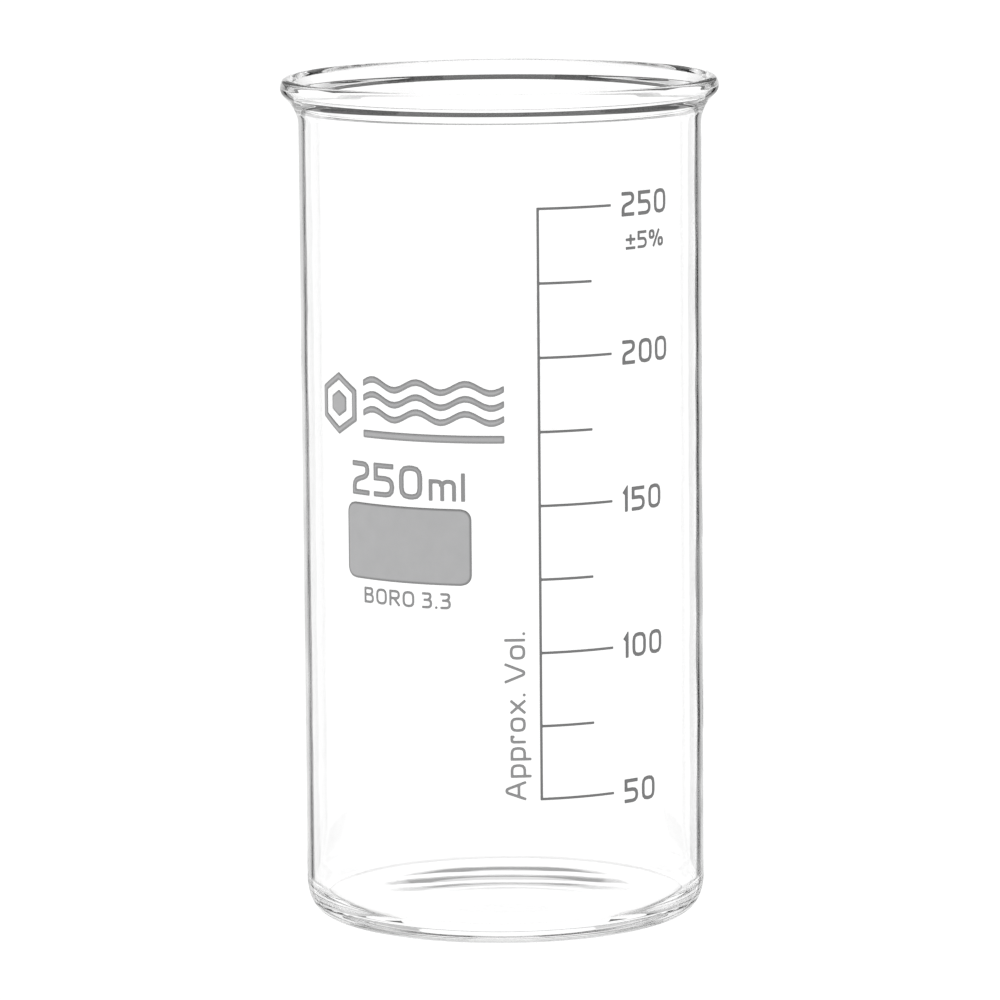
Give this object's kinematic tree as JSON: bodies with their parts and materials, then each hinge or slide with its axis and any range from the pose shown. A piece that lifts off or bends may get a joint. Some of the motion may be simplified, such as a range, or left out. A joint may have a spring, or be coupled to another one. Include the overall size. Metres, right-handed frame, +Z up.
{
  "type": "tall-form laboratory beaker",
  "caption": "Tall straight-sided glass laboratory beaker with a flared beaded rim, a rounded heel, a printed volume scale, a marking patch and a plain emblem.",
  "frame": {"origin": "middle of the base, on the plane that the standing ring rests on", "axes": "+Z up along the vessel's axis, -Y towards the side that carries the print, +X to the right when the print is read"},
  "size_m": [0.0624, 0.0624, 0.12],
  "materials": {
    "glass": "clear, fire polished",
    "scale_enamel": "satin, screen printed and fired",
    "label_enamel": "satin, screen printed and fired",
    "patch_enamel": "matt, takes pencil",
    "emblem_enamel": "satin, screen printed and fired"
  },
  "bodies": {
    "root": {"capacity_digit_1": "label_enamel", "capacity_digit_2": "label_enamel", "capacity_digit_3": "label_enamel", "capacity_l": "label_enamel", "capacity_m": "label_enamel", "caption_a": "label_enamel", "caption_l": "label_enamel", "caption_o_1": "label_enamel", "caption_o_2": "label_enamel", "caption_p_1": "label_enamel", "caption_p_2": "label_enamel", "caption_r": "label_enamel", "caption_stop_1": "label_enamel", "caption_stop_2": "label_enamel", "caption_v": "label_enamel", "caption_x": "label_enamel", "emblem_core": "emblem_enamel", "emblem_hexagon": "emblem_enamel", "emblem_rule": "emblem_enamel", "emblem_wave_1": "emblem_enamel", "emblem_wave_2": "emblem_enamel", "emblem_wave_3": "emblem_enamel", "glass_type_b": "label_enamel", "glass_type_digit_1": "label_enamel", "glass_type_digit_2": "label_enamel", "glass_type_o_1": "label_enamel", "glass_type_o_2": "label_enamel", "glass_type_point": "label_enamel", "glass_type_r": "label_enamel", "glass_vessel": "glass", "marking_patch": "patch_enamel", "numeral_100_digit_1": "scale_enamel", "numeral_100_digit_2": "scale_enamel", "numeral_100_digit_3": "scale_enamel", "numeral_150_digit_1": "scale_enamel", "numeral_150_digit_2": "scale_enamel", "numeral_150_digit_3": "scale_enamel", "numeral_200_digit_1": "scale_enamel", "numeral_200_digit_2": "scale_enamel", "numeral_200_digit_3": "scale_enamel", "numeral_250_digit_1": "scale_enamel", "numeral_250_digit_2": "scale_enamel", "numeral_250_digit_3": "scale_enamel", "numeral_50_digit_1": "scale_enamel", "numeral_50_digit_2": "scale_enamel", "tolerance_digit": "scale_enamel", "tolerance_percent_1": "scale_enamel", "tolerance_percent_2": "scale_enamel", "tolerance_percent_3": "scale_enamel", "tolerance_plus_minus_1": "scale_enamel", "tolerance_plus_minus_2": "scale_enamel", "volume_scale": "scale_enamel"}
  },
  "joints": []
}
